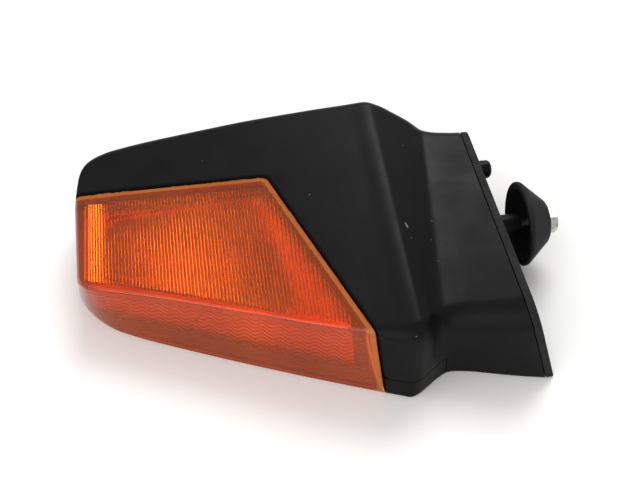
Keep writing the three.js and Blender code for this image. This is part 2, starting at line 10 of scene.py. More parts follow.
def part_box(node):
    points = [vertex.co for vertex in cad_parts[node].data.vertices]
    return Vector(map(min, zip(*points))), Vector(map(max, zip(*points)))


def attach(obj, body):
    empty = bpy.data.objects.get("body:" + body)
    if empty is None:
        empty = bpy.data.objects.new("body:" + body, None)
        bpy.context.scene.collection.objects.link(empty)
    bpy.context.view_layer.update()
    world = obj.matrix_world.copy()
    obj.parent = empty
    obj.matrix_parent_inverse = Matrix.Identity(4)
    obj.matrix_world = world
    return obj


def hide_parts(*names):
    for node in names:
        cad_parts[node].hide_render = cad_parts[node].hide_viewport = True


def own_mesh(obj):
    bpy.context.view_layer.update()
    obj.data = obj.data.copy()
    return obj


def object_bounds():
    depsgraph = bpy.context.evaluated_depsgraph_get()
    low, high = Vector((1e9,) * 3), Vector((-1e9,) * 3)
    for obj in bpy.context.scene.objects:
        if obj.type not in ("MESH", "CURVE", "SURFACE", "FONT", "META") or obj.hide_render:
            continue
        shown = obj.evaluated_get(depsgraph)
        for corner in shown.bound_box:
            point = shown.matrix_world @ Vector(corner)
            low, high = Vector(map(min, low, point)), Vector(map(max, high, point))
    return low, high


bl_info = {
    "name": "Turn Signal Lamp",
    "version": (1, 0, 0),
    "blender": (4, 5, 0),
    "location": "3D View > Sidebar > Turn Signal",
    "description": "Builds the fine surfaces and finishes of a flush-mounted turn signal lamp",
    "category": "Add Mesh",
}

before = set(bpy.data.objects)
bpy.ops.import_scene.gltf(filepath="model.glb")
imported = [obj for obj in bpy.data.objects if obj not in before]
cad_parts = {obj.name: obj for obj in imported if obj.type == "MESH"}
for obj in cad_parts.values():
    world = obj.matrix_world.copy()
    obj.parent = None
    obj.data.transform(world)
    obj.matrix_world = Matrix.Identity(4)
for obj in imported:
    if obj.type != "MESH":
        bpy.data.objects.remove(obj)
CAD_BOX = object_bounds()

MM = 0.001

# Driving dimensions in millimetres, in the lamp's own sketch: the same ones that the CAD frame was drawn to.
GAP = 0.3
HOUSING_WALL = 2.6
LENS_WALL = 2.2
TIP_X = -87.3
RIDGE_X = 24.0
FLANGE_X = 68.8
FLANGE_LEAN = -0.3
SEAM_Z = 8.0
COVER_END_X = 36.0
OPEN_FOOT = -6.0
FACE_HEIGHT = 35.9
FACE_SLOPE_X = 0.147
FACE_SLOPE_Y = 0.142
GASKET_THICKNESS = 2.8
TIP_ROUNDING = 3.0
FOOT_ROUNDING = 0.8
STUD_Y = 2.1
STUD_Z = 17.4
PEG_Y = 25.7
PEG_Z = 24.5
PEG_RADIUS = 3.4
TOWER_RADIUS = 4.0
BULB_Y = -5.0
BULB_Z = 15.8
STUD_FOOT_X = FLANGE_X + FLANGE_LEAN * STUD_Z
CONE_START = STUD_FOOT_X + 9.75
CONE_END = CONE_START + 10.5
THREAD_PITCH = 0.8

# The lens's border, seen from above at one height: a far edge, a rounded corner and a slanted near edge. Higher up it
# stands further outboard.
LENS_CORNER = (-15.6, 20.3)
LENS_CORNER_RADIUS = 4
LENS_NEAR_END = (11.4, -53.8)
LENS_FAR_EDGE = 29.5
LENS_BORDER_HEIGHT = 30
LENS_BORDER_LEAN = -0.11
# The shell's opening stands this far outside the border, and the lens's edge this far inside it.
OPENING_MARGIN = GAP / 2 + 0.3
LENS_MARGIN = -GAP / 2 - 0.1

# Screw places, seen from above.
HOUSING_BOSSES = [(-70, 40), (-8, 42), (17, 38), (19, -43)]
LENS_BOSSES = [(-70, -8.2), (-8, -36)]
REFLECTOR_SCREWS = [(-53, 0.5), (-37, -11.5)]

# A pale nick on the slope beside the ridge: its place, half sizes and turn.
NICK = (28.0, -11.5, 36.6)
NICK_RADII = (0.45, 1.4, 1.4)
NICK_TURN = 0.25

# How far the cutting blocks reach: past the lamp on every side, below it and above it.
OUTSIDE = 130
UNDER = -50
OVER = 90

# The sketch's origin in the frame: the cone's box says where the stud runs and where the cone starts.
CONE_LOW, CONE_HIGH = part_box("damper_cone")
SKETCH_ORIGIN = np.array([
    CONE_LOW.x / MM - CONE_START,
    (CONE_LOW.y + CONE_HIGH.y) / 2 / MM - STUD_Y,
    (CONE_LOW.z + CONE_HIGH.z) / 2 / MM - STUD_Z,
])


def metres(points):
    """Sketch points in millimetres as frame points in metres."""
    return (np.asarray(points, float) + SKETCH_ORIGIN) * MM


# ---- outer form ----


def smooth_curve(points):
    """A smooth curve through (x, value) points that stays straight where the points are in line."""
    xs, ys = (np.array(column, float) for column in zip(*points))
    widths = np.diff(xs)
    slopes = np.diff(ys) / widths
    before, after = slopes[:-1], slopes[1:]
    total = before + after
    safe = np.where(np.abs(total) < 1e-12, 1.0, total)
    inner = np.where(before * after <= 0, 0.0, 2 * before * after / safe)
    tangents = np.concatenate([slopes[:1], inner, slopes[-1:]])

    def value(x):
        x = np.asarray(x, float)
        i = np.clip(np.searchsorted(xs, x, side="right") - 1, 0, len(xs) - 2)
        width = widths[i]
        t = np.clip((x - xs[i]) / width, 0, 1)
        inside = (1 + 2 * t) * (1 - t) ** 2 * ys[i] + t * (1 - t) ** 2 * width * tangents[i]
        inside += t * t * (3 - 2 * t) * ys[i + 1] + t * t * (t - 1) * width * tangents[i + 1]
        low = np.minimum(x - xs[0], 0) * tangents[0]
        high = np.maximum(x - xs[-1], 0) * tangents[-1]
        return inside + low + high

    return value


def face_height(x, y):
    """Height of the flat top face."""
    return FACE_HEIGHT + FACE_SLOPE_X * x + FACE_SLOPE_Y * y


def near_line(x):
    """The straight near side, seen from above."""
    return -46.5 - 0.4375 * x


lean = smooth_curve([(TIP_X, 0.11), (-72, 0), (RIDGE_X, 0), (44, -0.12), (FLANGE_X, FLANGE_LEAN)])
skew = smooth_curve([(TIP_X, -0.036), (-78, 0), (RIDGE_X, 0), (44, 0.13), (FLANGE_X, 0)])
near_foot = smooth_curve([
    (TIP_X, 5), (-84, -1.5), (-80, -7), (-74, -12.6), (-68, -16.2), (-63, near_line(-63)), (20, near_line(20)),
    (22.4, -56.1), (24.6, -55.4), (28.5, -53.4), (33, -51.6), (38, -49.6), (44, -47.6), (50, -48.6),
    (56.5, -50.8), (63, -53.1), (FLANGE_X, -54.8),
])
near_head = smooth_curve([
    (TIP_X, -8.2), (-84, -10.6), (-80, -12.2), (-72, near_line(-72)), (12, near_line(12)), (20, -54.5),
    (24, -54.6), (28.5, -52.9), (33, -51.1), (38, -49.2), (44, -47.4), (50, -48.1), (56.5, -49.9),
    (63, -51.8), (FLANGE_X, -53),
])
far_side = smooth_curve([
    (TIP_X, 31), (-86.4, 36.5), (-85.2, 42), (-83.2, 46), (-80.6, 48.2), (-77, 49.6), (-70, 50.9), (-55, 51.7),
    (-27, 51.9), (0, 50.9), (15, 49.9), (RIDGE_X, 49.2), (28.5, 48.3), (33, 46.3), (38, 43.8), (44, 40.9),
    (50, 39.9), (56.5, 39.4), (63, 39), (FLANGE_X, 38.8),
])
near_height = smooth_curve([
    (18, face_height(18, -54)), (RIDGE_X, face_height(RIDGE_X, -54)), (28.5, 30.4), (33, 28.9), (38, 27.6),
    (44, 27), (50, 27.7), (56.5, 29), (63, 30.5), (FLANGE_X, 32),
])
far_height = smooth_curve([
    (18, face_height(18, 49.7)), (RIDGE_X, face_height(RIDGE_X, 49.2)), (28.5, 45), (33, 42.7), (38, 40.1),
    (44, 37), (50, 36.5), (56.5, 36.3), (63, 36.2), (FLANGE_X, 36.1),
])
near_rounding = smooth_curve([(TIP_X, 1.5), (4, 1.5), (14, 4), (RIDGE_X, 6), (44, 8), (FLANGE_X, 9.5)])
far_rounding = smooth_curve([(TIP_X, 4), (RIDGE_X, 5), (FLANGE_X, 6)])


def rounded(corners, steps):
    """Replaces each corner (u, v, radius) of a convex outline with an arc of so many points."""
    points = []
    count = len(corners)
    for i, (u, v, radius) in enumerate(corners):
        corner = Vector((u, v))
        back = (Vector(corners[i - 1][:2]) - corner).normalized()
        ahead = (Vector(corners[(i + 1) % count][:2]) - corner).normalized()
        half = math.acos(max(-1.0, min(1.0, back.dot(ahead)))) / 2
        centre = corner + (back + ahead).normalized() * (radius / math.sin(half))
        start = corner + back * (radius / math.tan(half)) - centre
        end = corner + ahead * (radius / math.tan(half)) - centre
        sweep = math.copysign(math.pi - 2 * half, start.x * end.y - start.y * end.x)
        for k in range(steps):
            turn = Matrix.Rotation(sweep * k / (steps - 1), 2)
            points.append(tuple(centre + turn @ start))
    return points


def section_heads(x):
    """Heights of the near and the far top corner at a station."""
    if x > 18:
        return float(near_height(x)), float(far_height(x))
    at = x + float(lean(x)) * 25
    return face_height(at, float(near_head(x))), face_height(at, float(far_side(x)))


def ring(x, inset=0.0, wall=0.0, foot=0.0, steps=12):
    """One section of the outer form, moved in by a distance, with rounded corners."""
    near_top, far_top = section_heads(x)
    far = float(far_side(x)) - inset
    corners = [
        (float(near_foot(x)) + inset, foot, FOOT_ROUNDING),
        (far, foot, FOOT_ROUNDING),
        (far, far_top - inset, max(float(far_rounding(x)) - wall, 0.6)),
        (float(near_head(x)) + inset, near_top - inset, max(float(near_rounding(x)) - wall, 0.6)),
    ]
    slope, turn = float(lean(x)), float(skew(x))
    return [(x + slope * z + turn * y, y, z) for y, z in rounded(corners, steps)]


def stations(wall=0.0, beyond=0.0, pitch=1.5):
    """Where the sections stand along the lamp: (x, shrink), rounding the tip over its last millimetres."""
    angles = np.radians(np.linspace(90, 0, 8))
    tip = [(TIP_X + wall + TIP_ROUNDING * (1 - math.sin(a)), TIP_ROUNDING * (1 - math.cos(a))) for a in angles]
    start = TIP_X + wall + TIP_ROUNDING
    count = int((FLANGE_X - start) / pitch)
    rest = [(float(x), 0.0) for x in np.linspace(start, FLANGE_X, count)[1:]]
    if beyond:
        rest.append((FLANGE_X + beyond, 0.0))
    return tip + rest


# ---- meshes ----


def mesh_object(name, points, faces):
    """A mesh object from sketch points in millimetres, linked to the scene."""
    mesh = bpy.data.meshes.new(name)
    mesh.from_pydata([tuple(p) for p in metres(points)], [], faces)
    mesh.validate()
    made = bpy.data.objects.new(name, mesh)
    bpy.context.collection.objects.link(made)
    return made


def skin(name, rings):
    """Skins a row of rings with the same number of points and closes both ends, faces outwards."""
    count = len(rings[0])
    points = [p for one in rings for p in one]
    faces = []
    for i in range(len(rings) - 1):
        for j in range(count):
            k = (j + 1) % count
            a, b = i * count + j, i * count + k
            faces.append((a, b, b + count, a + count))
    faces.append(tuple(reversed(range(count))))
    faces.append(tuple(range((len(rings) - 1) * count, len(rings) * count)))
    made = mesh_object(name, points, faces)
    face_outwards(made)
    return made


def face_outwards(made):
    """Turns a closed mesh's faces outwards."""
    mesh = made.data
    corners = np.array([v.co for v in mesh.vertices])
    mesh.calc_loop_triangles()
    triangles = np.array([t.vertices for t in mesh.loop_triangles])
    a, b, c = (corners[triangles[:, k]] for k in range(3))
    if np.einsum("ij,ij->i", a, np.cross(b, c)).sum() < 0:
        mesh.flip_normals()


def form(name, wall=0.0, foot=0.0, beyond=0.0, pitch=1.5, steps=12):
    """The outer form moved in by a wall thickness; its foot is the rest plane, or lower for an open hollow."""
    places = stations(wall, beyond, pitch)
    return skin(name, [ring(x, wall + shrink, wall, foot, steps) for x, shrink in places])


def lens_region(name, margin):
    """Everything outboard of the lens's border, moved out by a margin."""
    slant = Vector((LENS_NEAR_END[0] - LENS_CORNER[0], LENS_NEAR_END[1] - LENS_CORNER[1])).normalized()
    side = Vector((-slant.y, slant.x)) * margin

    def outline(z):
        drift = LENS_BORDER_LEAN * (z - LENS_BORDER_HEIGHT)
        near_end = Vector((LENS_NEAR_END[0] + drift, LENS_NEAR_END[1])) + side + slant * 42
        corner = Vector((LENS_CORNER[0] + drift, LENS_CORNER[1])) + side - slant * (margin * 0.6)
        return [
            (-110, LENS_FAR_EDGE + margin + 3.5, 0.5),
            (-110, -95, 0.5),
            (near_end.x, near_end.y, 0.5),
            (corner.x, corner.y, max(LENS_CORNER_RADIUS + margin, 0.6)),
        ]

    rings = [[(x, y, z) for x, y in rounded(outline(z), 14)] for z in (-8, 60)]
    return skin(name, rings)


def block(name, low=(-OUTSIDE, -OUTSIDE, UNDER), high=(OUTSIDE, OUTSIDE, OVER)):
    """A box between two corners, which reaches past the lamp where none is given."""
    rings = []
    for x in (low[0], high[0]):
        rings.append([(x, low[1], low[2]), (x, high[1], low[2]), (x, high[1], high[2]), (x, low[1], high[2])])
    return skin(name, rings)


def combine(target, tool, operation):
    """Joins, cuts or intersects target with tool and uses the tool up."""
    change = target.modifiers.new(operation, "BOOLEAN")
    change.operation = operation
    change.solver = "MANIFOLD"
    change.object = tool
    graph = bpy.context.evaluated_depsgraph_get()
    result = bpy.data.meshes.new_from_object(target.evaluated_get(graph))
    target.modifiers.clear()
    target.data = result
    bpy.data.objects.remove(tool)
    if not result.polygons:
        raise RuntimeError(f"{target.name}: {operation} left nothing")
    return target


def cut(target, tool):
    """Takes tool away from target."""
    return combine(target, tool, "DIFFERENCE")


def join(target, tool):
    """Adds tool to target."""
    return combine(target, tool, "UNION")


def keep(target, tool):
    """Keeps what target and tool share."""
    return combine(target, tool, "INTERSECT")


def turned(name, profile, y, z, sides=96):
    """A solid of revolution about a line along +X from (x, radius) points, on the line or closed."""
    on_line = profile[0][1] == 0
    body = [p for p in profile if p[1] > 0]
    points, faces = [], []
    for k in range(sides):
        angle = 2 * math.pi * k / sides
        points += [(x, y + r * math.cos(angle), z + r * math.sin(angle)) for x, r in body]
    count = len(body)
    spans = count if not on_line else count - 1
    for k in range(sides):
        a, b = k * count, ((k + 1) % sides) * count
        for j in range(spans):
            n = (j + 1) % count
            faces.append((a + j, a + n, b + n, b + j))
    if on_line:
        first, last = len(points), len(points) + 1
        points += [(profile[0][0], y, z), (profile[-1][0], y, z)]
        for k in range(sides):
            a, b = k * count, ((k + 1) % sides) * count
            faces.append((first, a, b))
            faces.append((last, b + count - 1, a + count - 1))
    made = mesh_object(name, points, faces)
    face_outwards(made)
    return made


def softened(profile, radius, steps=4, closed=False):
    """An (x, radius) profile with its inner corners rounded, so that edges catch the light."""
    points = []
    count = len(profile)
    for i, (x, r) in enumerate(profile):
        if not closed and i in (0, count - 1):
            points.append((x, r))
            continue
        corner = Vector((x, r))
        back = Vector(profile[i - 1]) - corner
        ahead = Vector(profile[(i + 1) % count]) - corner
        reach = min(radius, back.length * 0.45, ahead.length * 0.45)
        start, end = corner + back.normalized() * reach, corner + ahead.normalized() * reach
        for k in range(steps + 1):
            t = k / steps
            bend = start * (1 - t) ** 2 + corner * (2 * t * (1 - t)) + end * t * t
            points.append((bend.x, max(bend.y, 0.001)))
    return points


def dress(made, finish, body, node, edge=32):
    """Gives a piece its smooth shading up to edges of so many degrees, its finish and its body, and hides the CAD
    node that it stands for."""
    made.data.shade_smooth()
    made.data.set_sharp_from_angle(angle=math.radians(edge))
    made.data.materials.clear()
    made.data.materials.append(finish_named(finish))
    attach(made, body)
    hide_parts(node)


# ---- materials ----


def linear(value):
    """An sRGB hex colour as linear RGBA."""
    parts = [int(value[i:i + 2], 16) / 255 for i in (1, 3, 5)]
    return [c / 12.92 if c <= 0.04045 else ((c + 0.055) / 1.055) ** 2.4 for c in parts] + [1.0]


BLACK = linear("#000000")
WHITE = linear("#ffffff")


def grains(size_mm, detail):
    """Noise settings for patches or grains about so many millimetres across."""
    return {"Scale": 1 / (2 * size_mm * MM), "Detail": detail, "Roughness": 0.55}


def add_node(tree, kind, settings=None, links=None, stops=()):
    """Adds a node with its properties and socket values, its links and, for a ramp, its two stops."""
    made = tree.nodes.new(kind)
    for key, value in (settings or {}).items():
        if isinstance(key, str) and key in made.bl_rna.properties:
            setattr(made, key, value)
        else:
            made.inputs[key].default_value = value
    for key, source in (links or {}).items():
        tree.links.new(source if isinstance(source, bpy.types.NodeSocket) else source.outputs[0], made.inputs[key])
    for i, stop in enumerate(stops):
        made.color_ramp.elements[i].position, made.color_ramp.elements[i].color = stop
    return made


def new_material(name):
    """A new material's empty node tree, and the object coordinates that its patterns stand on."""
    material = bpy.data.materials.new(name)
    material.use_nodes = True
    tree = material.node_tree
    tree.nodes.clear()
    return tree, add_node(tree, "ShaderNodeTexCoord").outputs["Object"]


# Each finish varies its roughness over this middle band of its noise, where nearly all of the noise lies.
MIDDLE = {"From Min": 0.3, "From Max": 0.7}


def moulded_abs(name, dark, pale, dust):
    """Black ABS moulded against a spark-eroded tool: a fine pebbled grain that breaks the gloss into a soft satin,
    with rubbed paler patches, a few scratches, specks of dust in the grain and one pale nick."""
    tree, place = new_material(name)
    rubbed = add_node(tree, "ShaderNodeTexNoise", grains(14, 4), {"Vector": place})
    base = add_node(tree, "ShaderNodeValToRGB", None, {"Fac": rubbed}, [(0.3, dark), (0.72, pale)])

    # One speck in each 7 mm of surface, about 0.4 mm across: real dust is finer and would not show.
    cells = add_node(tree, "ShaderNodeTexVoronoi", {"Scale": 1 / (7 * MM), "Randomness": 1.0}, {"Vector": place})
    specks = add_node(tree, "ShaderNodeValToRGB", None, {"Fac": cells}, [(0.02, WHITE), (0.04, BLACK)])
    nick_place = add_node(tree, "ShaderNodeMapping", {
        "vector_type": "TEXTURE", "Location": tuple(metres([NICK])[0]), "Rotation": (0, 0, NICK_TURN),
        "Scale": tuple(radius * MM for radius in NICK_RADII),
    }, {"Vector": place})
    from_nick = add_node(tree, "ShaderNodeVectorMath", {"operation": "LENGTH"}, {0: nick_place})
    nick = add_node(
        tree, "ShaderNodeValToRGB", None, {"Fac": from_nick.outputs["Value"]}, [(0.7, WHITE), (1.0, BLACK)])
    marks = add_node(tree, "ShaderNodeMath", {"operation": "MAXIMUM"}, {0: specks, 1: nick})
    # A colour mix has its colours on sockets 6 and 7 and its result on output 2.
    colour = add_node(tree, "ShaderNodeMix", {"data_type": "RGBA", 7: dust}, {0: marks, 6: base})

    polish = add_node(tree, "ShaderNodeTexNoise", grains(5, 3), {"Vector": place})
    roughness = add_node(tree, "ShaderNodeMapRange", {**MIDDLE, "To Min": 0.33, "To Max": 0.45}, {"Value": polish})

    # The real grain is about 0.1 mm; it is drawn at 0.45 mm, or it would not show.
    pebbles = add_node(tree, "ShaderNodeTexNoise", grains(0.45, 2), {"Vector": place})
    grain = add_node(tree, "ShaderNodeBump", {"Strength": 0.5, "Distance": 0.035 * MM}, {"Height": pebbles})
    # Scratches 30 mm long and 1.4 mm wide: real ones are hairlines.
    along = add_node(
        tree, "ShaderNodeMapping", {"Rotation": (0, 0, 0.5), "Scale": (1.0, 22.0, 1.0)}, {"Vector": place})
    streaks = add_node(tree, "ShaderNodeTexNoise", grains(30, 2), {"Vector": along})
    scratches = add_node(tree, "ShaderNodeValToRGB", None, {"Fac": streaks}, [(0.70, BLACK), (0.74, WHITE)])
    relief = add_node(
        tree, "ShaderNodeBump", {"Strength": 0.35, "Distance": -0.02 * MM}, {"Height": scratches, "Normal": grain})

    surface = add_node(
        tree, "ShaderNodeBsdfPrincipled", {"IOR": 1.53, "Specular IOR Level": 0.13},
        {"Base Color": colour.outputs[2], "Roughness": roughness, "Normal": relief})
    add_node(tree, "ShaderNodeOutputMaterial", None, {"Surface": surface})


def moulded_amber(name, deep, tint, lowest_roughness, clearness):
    """Amber acrylic moulded in a polished tool: clear through its depth with a glossy skin, a little cloudier and
    deeper in patches where years of light have worked on it, and faintly rippled where the melt cooled."""
    tree, place = new_material(name)
    yellowed = add_node(tree, "ShaderNodeTexNoise", grains(9, 3), {"Vector": place})
    colour = add_node(tree, "ShaderNodeValToRGB", None, {"Fac": yellowed}, [(0.3, deep), (0.7, tint)])
    cloud = add_node(tree, "ShaderNodeTexNoise", grains(4, 3), {"Vector": place})
    roughness = add_node(
        tree, "ShaderNodeMapRange", {**MIDDLE, "To Min": lowest_roughness, "To Max": lowest_roughness + 0.08},
        {"Value": cloud})
    waves = add_node(tree, "ShaderNodeTexNoise", grains(6, 1), {"Vector": place})
    ripple = add_node(tree, "ShaderNodeBump", {"Strength": 0.25, "Distance": 0.05 * MM}, {"Height": waves})
    surface = add_node(
        tree, "ShaderNodeBsdfPrincipled",
        {"IOR": 1.49, "Transmission Weight": clearness, "Specular IOR Level": 0.5},
        {"Base Color": colour, "Roughness": roughness, "Normal": ripple})
    add_node(tree, "ShaderNodeOutputMaterial", None, {"Surface": surface})


def cured_rubber(name, dark, pale):
    """Black EPDM cured in a steel mould: matt, almost no highlight, with a greyish bloom in patches."""
    tree, place = new_material(name)
    bloom = add_node(tree, "ShaderNodeTexNoise", grains(5, 5), {"Vector": place})
    colour = add_node(tree, "ShaderNodeValToRGB", None, {"Fac": bloom}, [(0.32, dark), (0.75, pale)])
    wear = add_node(tree, "ShaderNodeTexNoise", grains(2, 3), {"Vector": place})
    roughness = add_node(tree, "ShaderNodeMapRange", {**MIDDLE, "To Min": 0.64, "To Max": 0.80}, {"Value": wear})
    # The mould's grit is about 0.05 mm; it is drawn at 0.5 mm, or it would not show.
    grit = add_node(tree, "ShaderNodeTexNoise", grains(0.5, 3), {"Vector": place})
    relief = add_node(tree, "ShaderNodeBump", {"Strength": 0.5, "Distance": 0.06 * MM}, {"Height": grit})
    surface = add_node(
        tree, "ShaderNodeBsdfPrincipled", {"IOR": 1.52, "Specular IOR Level": 0.35},
        {"Base Color": colour, "Roughness": roughness, "Normal": relief})
    add_node(tree, "ShaderNodeOutputMaterial", None, {"Surface": surface})


def bright_metal(name, dark, pale, roughness, cloud_mm=1.5):
    """Plated, drawn or stamped metal: a bright skin, cloudy where it is uneven, and finely pitted."""
    tree, place = new_material(name)
    clouds = add_node(tree, "ShaderNodeTexNoise", grains(cloud_mm, 4), {"Vector": place})
    colour = add_node(tree, "ShaderNodeValToRGB", None, {"Fac": clouds}, [(0.3, dark), (0.7, pale)])
    wear = add_node(tree, "ShaderNodeTexNoise", grains(cloud_mm / 2, 3), {"Vector": place})
    gloss = add_node(
        tree, "ShaderNodeMapRange", {**MIDDLE, "To Min": roughness * 0.8, "To Max": roughness * 1.3},
        {"Value": wear})
    # Real pits are a few hundredths of a millimetre; they are drawn at 0.3 mm, or they would not show.
    pits = add_node(tree, "ShaderNodeTexNoise", grains(0.3, 2), {"Vector": place})
    relief = add_node(tree, "ShaderNodeBump", {"Strength": 0.4, "Distance": 0.02 * MM}, {"Height": pits})
    surface = add_node(
        tree, "ShaderNodeBsdfPrincipled", {"Metallic": 1.0},
        {"Base Color": colour, "Roughness": gloss, "Normal": relief})
    add_node(tree, "ShaderNodeOutputMaterial", None, {"Surface": surface})


def blown_glass(name, tint):
    """Clear blown soda glass: thin, smooth, with the slow waves and the faint haze that blowing leaves."""
    tree, place = new_material(name)
    haze = add_node(tree, "ShaderNodeTexNoise", grains(4, 3), {"Vector": place})
    roughness = add_node(tree, "ShaderNodeMapRange", {**MIDDLE, "To Min": 0.0, "To Max": 0.04}, {"Value": haze})
    waves = add_node(tree, "ShaderNodeTexNoise", grains(8, 1), {"Vector": place})
    relief = add_node(tree, "ShaderNodeBump", {"Strength": 0.2, "Distance": 0.1 * MM}, {"Height": waves})
    surface = add_node(
        tree, "ShaderNodeBsdfPrincipled", {"IOR": 1.5, "Transmission Weight": 1.0, "Base Color": tint},
        {"Roughness": roughness, "Normal": relief})
    add_node(tree, "ShaderNodeOutputMaterial", None, {"Surface": surface})


def pressed_fibre(name, dark, pale):
    """Pressed fibre board: brown and matt, with short fibres lying one way."""
    tree, place = new_material(name)
    along = add_node(tree, "ShaderNodeMapping", {"Scale": (1, 6, 1)}, {"Vector": place})
    # Real fibres are about 0.05 mm wide and 1.5 mm long; they are drawn 0.25 mm wide, or they would not show.
    fibres = add_node(tree, "ShaderNodeTexNoise", grains(1.5, 4), {"Vector": along})
    colour = add_node(tree, "ShaderNodeValToRGB", None, {"Fac": fibres}, [(0.3, dark), (0.7, pale)])
    relief = add_node(tree, "ShaderNodeBump", {"Strength": 0.5, "Distance": 0.05 * MM}, {"Height": fibres})
    surface = add_node(
        tree, "ShaderNodeBsdfPrincipled", {"Roughness": 0.8}, {"Base Color": colour, "Normal": relief})
    add_node(tree, "ShaderNodeOutputMaterial", None, {"Surface": surface})


def studio_floor(name, soft, pale):
    """Matt painted studio floor: even and pale, with the faintest unevenness of a rolled coat."""
    tree, place = new_material(name)
    coat = add_node(tree, "ShaderNodeTexNoise", grains(60, 3), {"Vector": place})
    colour = add_node(tree, "ShaderNodeValToRGB", None, {"Fac": coat}, [(0.3, soft), (0.7, pale)])
    surface = add_node(tree, "ShaderNodeBsdfPrincipled", {"Roughness": 0.6}, {"Base Color": colour})
    add_node(tree, "ShaderNodeOutputMaterial", None, {"Surface": surface})


def finish_named(name):
    """The material of that name, which the finish operator made."""
    material = bpy.data.materials.get(name)
    if material is None:
        raise RuntimeError(f"material {name} is missing: make the finishes first")
    return material


# ---- properties ----


class LampSizes(bpy.types.PropertyGroup):
    """Sizes of the lamp's fine detail."""

    flute_pitch: bpy.props.FloatProperty(
        name="Flute pitch", description="Spacing of the upright flutes inside the lens's flat face",
        default=1.15 * MM, min=0.6 * MM, max=3.0 * MM, subtype="DISTANCE",
    )
    flute_depth: bpy.props.FloatProperty(
        name="Flute depth", description="Depth of the flutes inside the lens's flat face",
        default=0.34 * MM, min=0.05 * MM, max=0.8 * MM, subtype="DISTANCE",
    )
    rib_pitch: bpy.props.FloatProperty(
        name="Rib pitch", description="Spacing of the wavy ribs inside the lens's near side",
        default=1.8 * MM, min=0.8 * MM, max=4.0 * MM, subtype="DISTANCE",
    )
    rib_depth: bpy.props.FloatProperty(
        name="Rib depth", description="Depth of the wavy ribs inside the lens's near side",
        default=0.42 * MM, min=0.05 * MM, max=0.8 * MM, subtype="DISTANCE",
    )
    wave_length: bpy.props.FloatProperty(
        name="Wave length", description="Length of the ribs' waves along the lens's side",
        default=5.6 * MM, min=2.0 * MM, max=12.0 * MM, subtype="DISTANCE",
    )
    rim_width: bpy.props.FloatProperty(
        name="Rim width", description="Width of the thick rim along the lens's border",
        default=1.7 * MM, min=1.0 * MM, max=6.0 * MM, subtype="DISTANCE",
    )
    lip: bpy.props.FloatProperty(
        name="Opening lip", description="Rounding of the shell's edge along the lens",
        default=1.5 * MM, min=0.3 * MM, max=3.0 * MM, subtype="DISTANCE",
    )


class LampColours(bpy.types.PropertyGroup):
    """Colours of the lamp and its stage."""

    shell_dark: bpy.props.FloatVectorProperty(
        name="Shell", description="Black ABS where its grain is whole",
        default=linear("#0a0a0a"), size=4, min=0, max=1, subtype="COLOR",
    )
    shell_pale: bpy.props.FloatVectorProperty(
        name="Shell, rubbed", description="Black ABS where it is rubbed",
        default=linear("#121212"), size=4, min=0, max=1, subtype="COLOR",
    )
    shell_dust: bpy.props.FloatVectorProperty(
        name="Dust", description="Specks of dust and the nick in the shell",
        default=linear("#77777a"), size=4, min=0, max=1, subtype="COLOR",
    )
    amber_deep: bpy.props.FloatVectorProperty(
        name="Amber, deep", description="Amber acrylic of the lens where it has deepened",
        default=linear("#ef6c0d"), size=4, min=0, max=1, subtype="COLOR",
    )
    amber: bpy.props.FloatVectorProperty(
        name="Amber", description="Amber acrylic of the lens",
        default=linear("#ff7e14"), size=4, min=0, max=1, subtype="COLOR",
    )
    rim_deep: bpy.props.FloatVectorProperty(
        name="Rim, deep", description="Amber acrylic of the lens's rim where it has deepened",
        default=linear("#bc661f"), size=4, min=0, max=1, subtype="COLOR",
    )
    rim: bpy.props.FloatVectorProperty(
        name="Rim", description="Amber acrylic of the lens's thick rim",
        default=linear("#c9772a"), size=4, min=0, max=1, subtype="COLOR",
    )
    rubber_dark: bpy.props.FloatVectorProperty(
        name="Rubber", description="Black EPDM where it is clean",
        default=linear("#101011"), size=4, min=0, max=1, subtype="COLOR",
    )
    rubber_pale: bpy.props.FloatVectorProperty(
        name="Rubber, bloomed", description="Black EPDM where it has bloomed grey",
        default=linear("#1e1e1f"), size=4, min=0, max=1, subtype="COLOR",
    )
    zinc_dark: bpy.props.FloatVectorProperty(
        name="Zinc, dull", description="Zinc plate where it has dulled",
        default=linear("#9b9c98"), size=4, min=0, max=1, subtype="COLOR",
    )
    zinc_pale: bpy.props.FloatVectorProperty(
        name="Zinc", description="Zinc plate where it is bright",
        default=linear("#d8d8d2"), size=4, min=0, max=1, subtype="COLOR",
    )
    floor_soft: bpy.props.FloatVectorProperty(
        name="Floor, soft", description="Studio floor where its paint is thinner",
        default=linear("#f1f0ee"), size=4, min=0, max=1, subtype="COLOR",
    )
    floor: bpy.props.FloatVectorProperty(
        name="Floor", description="Studio floor",
        default=linear("#f4f3f1"), size=4, min=0, max=1, subtype="COLOR",
    )


# ---- pieces ----


def upright(name, radius, low, high, x, y, sides=40):
    """An upright round bar."""
    points = [(radius * math.cos(a), radius * math.sin(a)) for a in np.linspace(0, 2 * math.pi, sides + 1)[:-1]]
    return skin(name, [[(x + u, y + v, z) for u, v in points] for z in (low, high)])


